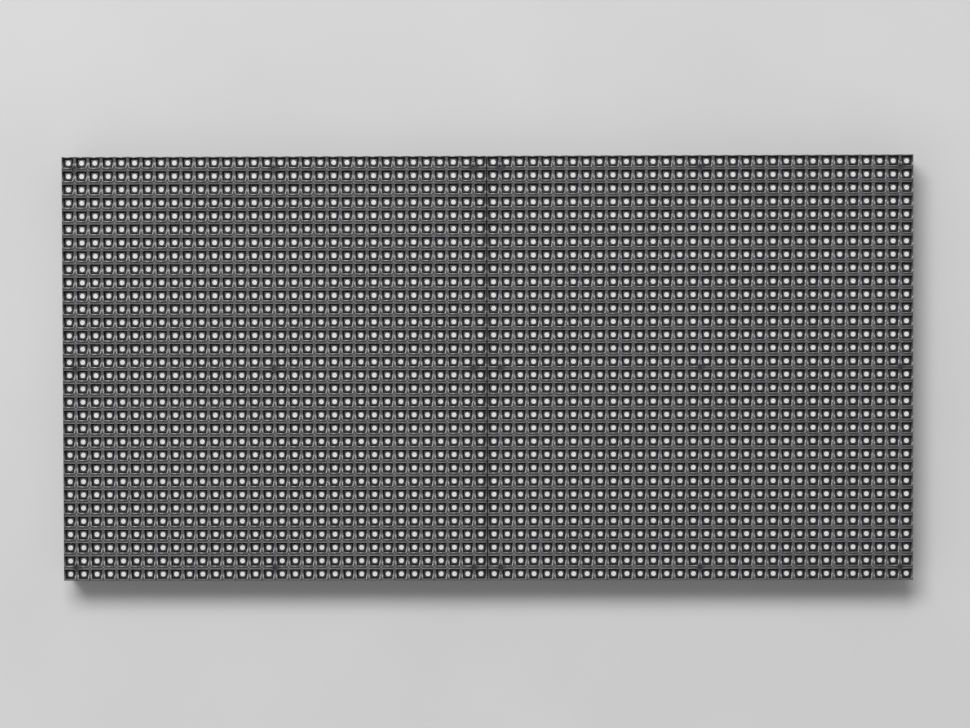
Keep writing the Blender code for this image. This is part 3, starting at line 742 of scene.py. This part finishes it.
def screwShape():
    # head: square grid (u, v) drawn to a disc, x = u sqrt(1 - v^2 / 2), y = v sqrt(1 - u^2 / 2),
    # z = top - dome r^2 - depth where |u| or |v| is inside an arm; its border runs down side and shaft
    style = screwStyle
    low, high = boxOf("mask_screw_01")
    head, shaft, tip, point, dome = metres(style, "head", "shaft", "tip", "point", "dome")
    sunk, seat, depth, lip = metres(style, "sunk", "seat", "depth", "lip")
    top, seat, end = high[2] - sunk, high[2] - seat, low[2]
    arm, reach = style["arm"], style["reach"]
    walls = [arm * share for share in style["armWall"]] + [reach * share for share in style["endWall"]]
    line = np.array([0, *walls, style["rim"], 1.0])
    line = np.concatenate([-line[:0:-1], line])
    count = len(line)
    u, v = np.meshgrid(line, line, indexing="ij")
    x, y = u * np.sqrt(1 - v ** 2 / 2), v * np.sqrt(1 - u ** 2 / 2)
    inside = ((abs(u) < arm) & (abs(v) < reach)) | ((abs(v) < arm) & (abs(u) < reach))
    z = top - dome * (x ** 2 + y ** 2) - depth * inside
    cap = np.stack([x * head, y * head, z], -1).reshape(-1, 3)
    index = np.arange(count * count).reshape(count, count)
    border = np.concatenate([index[:-1, 0], index[-1, :-1], index[:0:-1, -1], index[0, :0:-1]])
    direction = cap[border][:, :2] / head
    levels = [(head, top - dome - lip), (head, seat), (shaft, seat), (shaft, end + point), (tip, end)]
    side = [np.column_stack([direction * radius, np.full(len(border), z)]) for radius, z in levels]
    points = np.concatenate([cap, *side])
    sideIndex = np.arange(len(cap), len(points)).reshape(len(levels), -1)
    rings = np.concatenate([border[None], sideIndex])
    after = np.roll(rings, -1, axis=1)
    wall = np.stack([rings[:-1], rings[1:], after[1:], after[:-1]], -1).reshape(-1, 4)
    return points, [(0, gridQuads(count, count)), (0, wall), (0, rings[-1][::-1][None])]


def buildScrews():
    # one screw at every place
    screws = repeated(screwShape(), screwPlaces)
    makePiece("mask_screws", screws, [steelBlackened], nodesNamed("mask_screw_"), 30)


buildScrews()


# Chips on the board's rear: the fused row chips get bodies, and every chip gets gull-wing leads

chipStyles = {
    # size of the body, lead pitch, leads a side and lead width, mm
    "driver": {"size": (3.9, 8.65, 1.5), "step": 0.635, "leads": 12, "width": 0.25},
    "buffer": {"size": (4.4, 6.5, 1.1), "step": 0.65, "leads": 10, "width": 0.24},
    "decoder": {"size": (3.9, 9.9, 1.5), "step": 1.27, "leads": 8, "width": 0.42},
    "switch": {"size": (3.9, 4.9, 1.5), "step": 1.27, "leads": 4, "width": 0.42},
}
rowChips = {
    "switch": [(x * mm, y * mm, 0) for x in (-14, -24) for y in (-12, -4, 4, 12)],
    "decoder": [(-36 * mm, y * mm, 0) for y in (-8, 8)],
}
bodyStyle = {"gap": 0.15, "draft": 0.12, "bevel": 0.05, "corner": 0.08}    # gap to the board
leadStyle = {
    "thick": 0.17,
    "rooted": 0.1,                             # start inside the body
    "out": (0, 0.30, 0.42, 0.56, 0.68, 1.15),  # stations outwards from there
    "kneeRise": 0.10,                          # towards the board at the third station
    "heelGap": 0.08,                           # from the foot's level at the fourth
}


def leadShape(style):
    # one lead: a flat section carried out of the body's middle, down to the board and out along it
    thick, rooted, rise, gap = metres(leadStyle, "thick", "rooted", "kneeRise", "heelGap")
    start = style["size"][0] / 2 * mm - rooted
    mid = boardRear - style["size"][2] / 2 * mm - bodyStyle["gap"] * mm
    foot = boardRear - thick / 2
    levels = (mid, mid, mid + rise, foot - gap, foot, foot)
    path = [(start + out * mm, 0, z) for out, z in zip(leadStyle["out"], levels)]
    wide = style["width"] * mm / 2
    section = [(-wide, -thick / 2), (wide, -thick / 2), (wide, thick / 2), (-wide, thick / 2)]
    return carried(section, path, (0, 1, 0))


def chipLeads(kind, places):
    # leads spread along both long sides of each chip
    style = chipStyles[kind]
    row = repeated(leadShape(style), [(0, y, 0) for y in spread(style["leads"], style["step"] * mm)])
    return repeated(join([row, turnedOver(row)]), places)


def chipBody(kind):
    # rounded rectangle carried down through the body, widest at the parting line half way
    size = np.array(chipStyles[kind]["size"]) * mm
    gap, draft, bevel, corner = metres(bodyStyle, "gap", "draft", "bevel", "corner")
    front, outline = boardRear - gap, roundedBox(size[:2], corner, 2)
    levels = [
        (front, draft + bevel), (front - bevel, draft), (front - size[2] / 2, 0),
        (front - size[2] + bevel, draft), (front - size[2], draft + bevel),
    ]
    return prism(outline, levels)


def buildChips():
    # leads for the CAD chips, bodies and leads for the row chips
    makePiece("led_driver_leads", chipLeads("driver", placesOf("led_driver_")), [tinPlated])
    makePiece("bus_buffer_leads", chipLeads("buffer", placesOf("bus_buffer_")), [tinPlated])
    for kind, places in rowChips.items():
        makePiece(f"row_{kind}_bodies", repeated(chipBody(kind), places), [chipCompound])
        makePiece(f"row_{kind}_leads", chipLeads(kind, places), [tinPlated])


buildChips()


# Small ceramic capacitors by the drivers: a pale body between two tinned ends

passiveStyle = {
    "size": (1.6, 0.8, 0.8),
    "end": 0.35,                      # length of a tinned end
    "lap": 1.1,                       # an end laps over the body by a tenth of that
    "edge": 0.05,
    "slim": 0.94,                     # body's width, as a share of the ends'
    "sunk": 0.02,                     # body nearer to the board than the ends; also its corner radius
    "byDriver": ((0, 6.2), (6, -2)),  # places from each driver's middle
    "byHeader": (7.5, 7, 3),          # beside each data header: away from it, how many, step
}


def buildPassives():
    # two beside each driver and a row by each data header: body + two ends, each a prism
    style, size = passiveStyle, np.array(passiveStyle["size"]) * mm
    end, edge, sunk = metres(style, "end", "edge", "sunk")
    levels = [(boardRear, 0), (boardRear - size[2] + edge, 0), (boardRear - size[2], edge)]
    slimmer = roundedBox((size[0] - 2 * end, size[1] * style["slim"]), sunk, 2)
    body = prism(slimmer, [(z + sunk, inset) for z, inset in levels])
    tip = prism(roundedBox((end * style["lap"], size[1]), edge, 3), levels)
    tip = tip[0], [(1, face) for _, face in tip[1]]
    reach = size[0] / 2 - end / 2
    places = [
        middle + (x * mm, y * mm, 0) for middle in placesOf("led_driver_") for x, y in style["byDriver"]
    ]
    away, count, step = style["byHeader"]
    for middle in placesOf("data_header_"):
        places += [(middle[0] + away * mm, y, 0) for y in spread(count, step * mm)]
    whole = join([body, moved(tip, (-reach, 0, 0)), moved(tip, (reach, 0, 0))])
    makePiece("ceramic_capacitors", repeated(whole, places), [ceramicFired, tinPlated])


buildPassives()


# Data headers: shrouds open at the back with a key slot, and two rows of gold pins

headerStyle = {
    "wall": 1.2, "floor": 2.5, "slot": 4.5, "slotFloor": 3.7, "edge": 0.15,
    "slotLean": 0.001,  # the slot's sides lean by a micrometre
    "pinStep": 2.54, "pins": 8, "pinSide": 0.64, "pinShort": 1.0, "pinTip": 0.5,
}
# pins start this far inside a header's board side, and taper by this share of half their width
pinRooted, pinTaper = 1.0 * mm, 0.55


def shroudShape(size):
    # stations round a rectangle; at each one the section runs up the outside, over the wall's end and down
    # the inside; the wall's end rises towards the floor between the two stations of the key slot
    halfX, halfY, deep = size[0] / 2, size[1] / 2, size[2]
    wall, edge, slot, lean = metres(headerStyle, "wall", "edge", "slot", "slotLean")
    slotFloor, floor = metres(headerStyle, "slotFloor", "floor")
    slotIn, slotOut = (slot / 2 - lean) / halfY, slot / 2 / halfY
    # (x, y) of each station on a unit rectangle, and 1 where the wall's end is the slot's floor
    stations = [
        (1, -1, 0), (1, -slotOut, 0), (1, -slotIn, 1), (1, slotIn, 1), (1, slotOut, 0), (1, 1, 0),
        (0, 1, 0), (-1, 1, 0), (-1, 0, 0), (-1, -1, 0), (0, -1, 0),
    ]
    unit = np.array(stations, float)
    count = len(unit)
    ends = unit[:, 2] * (deep - slotFloor)
    outer = unit[:, :2] * (halfX, halfY)
    between = (abs(unit[:, 1]) < 0.9) & (abs(unit[:, 0]) == 1)       # between the corners y stays
    innerY = np.where(between, 1, (halfY - wall) / halfY) * halfY
    inner = unit[:, :2] * np.stack([np.full(count, halfX - wall), innerY], -1)
    step = (inner - outer) / np.maximum(np.linalg.norm(inner - outer, axis=1, keepdims=True), 1e-9)
    levels = [
        (outer, np.full(count, deep)), (outer, ends + edge), (outer + step * edge, ends),
        (inner - step * edge, ends), (inner, ends + edge), (inner, np.full(count, deep - floor)),
    ]
    return capped([np.column_stack(level) for level in levels])


def pinShape(style, low, high):
    # square section carried down the header, narrowing over its last bit; it ends short of the open side
    side, short, tip = metres(style, "pinSide", "pinShort", "pinTip")
    reach, end = side / 2, low[2] + short
    outline = [(reach, reach), (-reach, reach), (-reach, -reach), (reach, -reach)]
    return prism(outline, [(high[2] - pinRooted, 0), (end + tip, 0), (end, reach * pinTaper)])


def buildDataHeaders():
    # a shroud and two rows of pins in each header's CAD box
    step = headerStyle["pinStep"] * mm
    for name in ("data_header_in", "data_header_out"):
        low, high = boxOf(name)
        x, y, _ = (low + high) / 2
        shroud = moved(shroudShape(high - low), (x, y, low[2]))
        makePiece(name + "_shroud", shroud, [headerPbt], [name], 25)
        along = spread(headerStyle["pins"], step)
        places = [(x + row, y + pin, 0) for row in spread(2, step) for pin in along]
        pins = repeated(pinShape(headerStyle, low, high), places)
        makePiece(name + "_pins", pins, [goldPlated], sharpAngle=25)


buildDataHeaders()


# Power header: an ivory base with a latch wall, and four square pins

powerStyle = {
    "base": 3.2, "notch": 0.5, "wall": 1.2,
    "wallIn": 0.2,               # the wall stands this far inside the box
    "wallStops": (0, 0.6, 1.2),  # stations up the wall from its free end
    "pins": 4, "pinStep": 3.96, "pinSide": 1.14, "pinShort": 1.0, "pinTip": 0.8,
}


def buildPowerHeader():
    # base: rectangle whose long side is notched between the pins; latch wall: a plate up the other side
    style = powerStyle
    low, high = boxOf("power_header")
    x, y, _ = (low + high) / 2
    step, base, notch, wall, gap = metres(style, "pinStep", "base", "notch", "wall", "wallIn")
    halfX, halfY = (high - low)[:2] / 2
    stations = spread(style["pins"], step)
    cut = np.array([(0, notch), (notch, notch / 2), (notch, -notch / 2), (0, -notch)])
    notches = [cut + (-halfX, middle) for middle in (stations[:-1] + step / 2)[::-1]]
    corners = [[(halfX, -halfY), (halfX, halfY), (-halfX, halfY)], *notches, [(-halfX, -halfY)]]
    base = prism(np.concatenate(corners), [(high[2], 0), (high[2] - base, 0)])
    across, along = wall / 2, halfY - gap
    section = [(-along, -across), (along, -across), (along, across), (-along, across)]
    levels = [*(low[2] + stop * mm for stop in style["wallStops"]), high[2] - gap]
    plate = carried(section, [(halfX - across - gap, 0, z) for z in levels], (0, 1, 0))
    body = moved(join([base, plate]), (x, y, 0))
    makePiece("power_header_body", body, [nylonNatural], ["power_header"], 25)
    pins = repeated(pinShape(style, low, high), [(x, y + along, 0) for along in stations])
    makePiece("power_header_pins", pins, [tinPlated], sharpAngle=25)


buildPowerHeader()


# Electrolytic capacitors: drawn cans with a rolled groove on chamfered black bases

canStyle = {
    "radius": 3.15, "edge": 0.5,
    "groove": 0.22, "grooveAt": 0.9, "grooveHalf": 0.5,  # depth, place above the base, half width
    "panel": 0.8, "panelSunk": 0.05,                     # end's sunk middle, as a share of the radius
    "foot": 1.0, "side": 6.6, "cut": 1.2, "bevel": 0.1,  # base: thickness, side, corner cuts, edge
    "canSunk": 0.2, "baseSunk": 0.3,                     # can into its base, base into the board
}


def buildCapacitors():
    # can profile (r, z) from its foot to its rounded end, the groove as a cosine dip in r
    style = canStyle
    names = nodesNamed("capacitor_")
    low, high = boxOf(names[0])
    radius, edge, groove, panelSunk = metres(style, "radius", "edge", "groove", "panelSunk")
    canSunk, thick, side, cut, bevel = metres(style, "canSunk", "foot", "side", "cut", "bevel")
    foot, reach = high[2] - thick, side / 2
    dip, bend = np.linspace(-1, 1, 9), np.linspace(0, np.pi / 2, 6)
    grooveR = radius - groove * (1 + np.cos(np.pi * dip)) / 2
    grooveZ = foot - (style["grooveAt"] + style["grooveHalf"] * dip) * mm
    endR, endZ = radius - edge + edge * np.cos(bend), low[2] + edge - edge * np.sin(bend)
    profile = np.concatenate(
        [
            [(0, foot + canSunk), (radius, foot + canSunk)],
            np.column_stack([grooveR, grooveZ]),
            np.column_stack([endR, endZ]),
            [(radius * style["panel"], low[2] + panelSunk), (0, low[2] + panelSunk)],
        ]
    )
    can = turned(profile, 40, turn=0.5)
    cut = reach - cut
    outline = [(reach, -reach), (reach, cut), (cut, reach), (-cut, reach), (-reach, cut), (-reach, -reach)]
    base = prism(outline, [(high[2] + style["baseSunk"] * mm, 0), (foot + bevel, 0), (foot, bevel)])
    places = placesOf("capacitor_")
    makePiece("capacitor_cans", repeated(can, places), [aluminiumDrawn], names)
    makePiece("capacitor_bases", repeated(base, places), [headerPbt], sharpAngle=25)


buildCapacitors()


# Threaded inserts: knurled brass sleeves with a groove round their middle and a ridged bore

insertStyle = {
    "radius": 2.4, "bevel": 0.15, "knurl": 0.035, "teeth": 18, "sides": 72,
    "groove": 0.3, "grooveHalf": (0.5, 0.35),  # depth; half width at its top and floor
    "bore": 1.25, "ridge": 0.18, "turns": 8,   # thread ridges
    "mouth": 0.25, "deep": 0.2,                # mouths: how much wider, how deep
}


def buildInserts():
    # outer radius dips between the knurl's teeth, r (1 - k (1 - cos(n t)) / 2); the bore is a row of ridges
    style = insertStyle
    names = nodesNamed("threaded_insert_")
    low, high = (corner[2] for corner in boxOf(names[0]))
    radius, bevel, groove, bore = metres(style, "radius", "bevel", "groove", "bore")
    ridge, mouth, deep = metres(style, "ridge", "mouth", "deep")
    middle, inner = (low + high) / 2, radius - groove
    wide, narrow = np.array(style["grooveHalf"]) * mm
    outside = [
        (radius - bevel, high), (radius, high - bevel), (radius, middle + wide), (inner, middle + narrow),
        (inner, middle - narrow), (radius, middle - wide), (radius, low + bevel), (radius - bevel, low),
    ]
    levels = np.linspace(low + deep, high - deep, style["turns"] * 2 + 1)
    ridges = [(bore + ridge * (k % 2), z) for k, z in enumerate(levels)]
    inside = [(bore + mouth, low), *ridges, (bore + mouth, high)]

    def knurled(angle, loop):
        # only points on the outside dip
        onOutside = loop[:, :1] > radius - 0.01 * mm
        return 1 - onOutside * style["knurl"] * (1 - np.cos(style["teeth"] * angle)) / 2

    sleeve = turnedRing(outside + inside, style["sides"], knurled)
    sleeves = repeated(sleeve, placesOf("threaded_insert_"))
    makePiece("threaded_insert_sleeves", sleeves, [brassTurned], names, sharpAngle=50)


buildInserts()


# Carried-over CAD nodes keep their shape and get a finish

def paintNode(name, material):
    # one finish for the whole node
    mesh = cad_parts[name].data
    mesh.materials.clear()
    mesh.materials.append(material)


paintNode("rear_frame", frameMoulded)
for nodeName in nodesNamed("led_driver_") + nodesNamed("bus_buffer_"):
    paintNode(nodeName, chipCompound)
print("CAD nodes painted")


# Floor, light and camera

studio = {
    "floorSide": 16.0,
    "floorColours": ("#cdcdcd", "#d1d1d1"),
    "worldStrength": 0.3,
    # lamps: power, size and place, W and m
    "key": (25.6, (1.0, 0.6), (-0.30, 0.84, 1.52)),
    "fill": (3.0, (1.6, 1.6), (-0.9, -0.9, 1.6)),
}


def buildFloor():
    # flat grid: x and y from -side / 2 to side / 2, z = 0
    side = studio["floorSide"]
    line = np.linspace(-side / 2, side / 2, 5)
    x, y = np.meshgrid(line, line, indexing="ij")
    points = np.stack([x, y, np.zeros_like(x)], -1).reshape(-1, 3)
    mesh = bpy.data.meshes.new("floor")
    mesh.from_pydata(points.tolist(), [], gridQuads(5, 5).tolist())
    floor = bpy.data.objects.new("floor", mesh)
    bpy.context.scene.collection.objects.link(floor)
    material, shader, place = startMaterial("paper_matt_pressed", {"Roughness": 0.9, "IOR": 1.45})
    mottle = addNode(material, "TexNoise", {"Scale": per(60 * mm), "Detail": 2.0}, {"Vector": place})
    tone = addNode(material, "ValToRGB", twoTones(studio["floorColours"], 0.2), {"Fac": mottle})
    mesh.materials.append(finishMaterial(material, shader, tone))


def areaLight(name, power, size, place):
    # a soft rectangle that looks at the panel's middle
    light = bpy.data.lights.new(name, "AREA")
    light.shape = "RECTANGLE"
    light.energy = power
    light.size, light.size_y = size
    lamp = bpy.data.objects.new(name, light)
    lamp.location = place
    lamp.rotation_euler = (-lamp.location).to_track_quat("-Z", "Y").to_euler()
    bpy.context.scene.collection.objects.link(lamp)


def buildStudio():
    # a large soft lamp beyond the picture's top, a weak one at its lower left, and an even white world
    areaLight("key_softbox", *studio["key"])
    areaLight("fill_softbox", *studio["fill"])
    world = bpy.data.worlds.new("studio")
    world.use_nodes = True
    background = world.node_tree.nodes["Background"]
    background.inputs["Color"].default_value = (1, 1, 1, 1)
    background.inputs["Strength"].default_value = studio["worldStrength"]
    bpy.context.scene.world = world


# The photograph is taken from above, a degree or two off square. How far the mask stands off the LEDs from
# column to column gives the height, and how the grid's pitch grows across the picture gives the two leans.
camera = {
    "height": 0.9,                    # above the LEDs' tops
    "sensor": 36.0,
    "photoWidth": 970,
    "pixelsPerMetre": 3322.8,         # at the LEDs' level, where the view's axis meets it
    "place": (12.84, 23.45),          # mm from the panel's middle
    "turn": (-1.413, 0.854, -0.147),  # degrees about X, Y and Z
}


def buildCamera():
    # lens = sensor x height x pixels per metre / picture width
    data = bpy.data.cameras.new("camera")
    data.sensor_width = camera["sensor"]
    data.lens = camera["sensor"] * camera["height"] * camera["pixelsPerMetre"] / camera["photoWidth"]
    data.clip_start, data.clip_end = 0.1, 50
    eye = bpy.data.objects.new("camera", data)
    eye.location = (camera["place"][0] * mm, camera["place"][1] * mm, ledTop + camera["height"])
    eye.rotation_euler = [math.radians(angle) for angle in camera["turn"]]
    bpy.context.scene.collection.objects.link(eye)
    bpy.context.scene.camera = eye


buildFloor()
buildStudio()
buildCamera()
bpy.context.scene.view_settings.view_transform = "Standard"

print("cad box", tuple(round(v / mm, 2) for v in (*cadLow, *cadHigh)))
